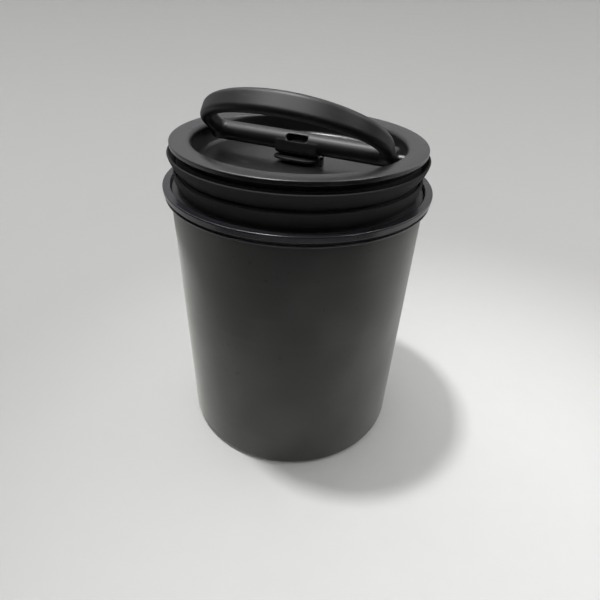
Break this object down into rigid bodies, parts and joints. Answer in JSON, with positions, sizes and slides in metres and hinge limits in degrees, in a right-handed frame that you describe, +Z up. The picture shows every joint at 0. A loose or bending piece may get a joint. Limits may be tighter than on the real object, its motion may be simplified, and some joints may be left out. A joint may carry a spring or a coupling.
{
  "type": "coffee canister",
  "caption": "Tall round coffee canister with a push-down inner lid, soft wiper seals, and a swinging lid handle whose cam works an air valve.",
  "frame": {"origin": "centre of the base, on the surface that the canister stands on", "axes": "+Z up, X along the handle's crossbar, and the handle leans towards -Y at rest"},
  "size_m": [0.184, 0.184, 0.2652],
  "materials": {
    "canister_coat": "matt charcoal coat",
    "collar_gloss": "glossy",
    "lid_plastic": "satin",
    "handle_plastic": "satin",
    "cap_plastic": "satin",
    "seal_rubber": "matt",
    "inner_plastic": "matt",
    "bright_steel": "plain bright steel"
  },
  "bodies": {
    "canister": {"canister_body": "canister_coat", "rim_collar": "collar_gloss"},
    "lid": {"lid_shell": "lid_plastic", "upper_wiper_seal": "seal_rubber", "lower_wiper_seal": "seal_rubber", "lid_underplate": "inner_plastic", "underplate_screws": "bright_steel", "pivot_pin_left": "bright_steel", "pivot_pin_right": "bright_steel", "valve_cage": "inner_plastic", "valve_spring": "bright_steel"},
    "handle": {"handle": "handle_plastic"},
    "valve": {"valve_cap": "cap_plastic", "valve_gasket": "seal_rubber", "valve_stem": "bright_steel", "spring_washer": "bright_steel", "stem_clip": "bright_steel"}
  },
  "joints": [
    {"name": "lid_slide", "type": "slide", "parent": "canister", "child": "lid", "axis": [0, 0, 1], "range_m": [-0.19, 0.06]},
    {"name": "handle_pivot", "type": "hinge", "parent": "lid", "child": "handle", "pos_m": [0, 0, 0.2277], "axis": [1, 0, 0], "range_deg": [-52, 38]},
    {"name": "valve_slide", "type": "slide", "parent": "lid", "child": "valve", "axis": [0, 0, 1], "range_m": [-0.00112, 0.00152], "stiffness_N_per_m": 1, "springref_m": 0.0373, "deforming": ["valve_spring"]}
  ],
  "couplings": [
    {"joint": "valve_slide", "follows": "handle_pivot", "m_per_rad": -0.0016552}
  ]
}
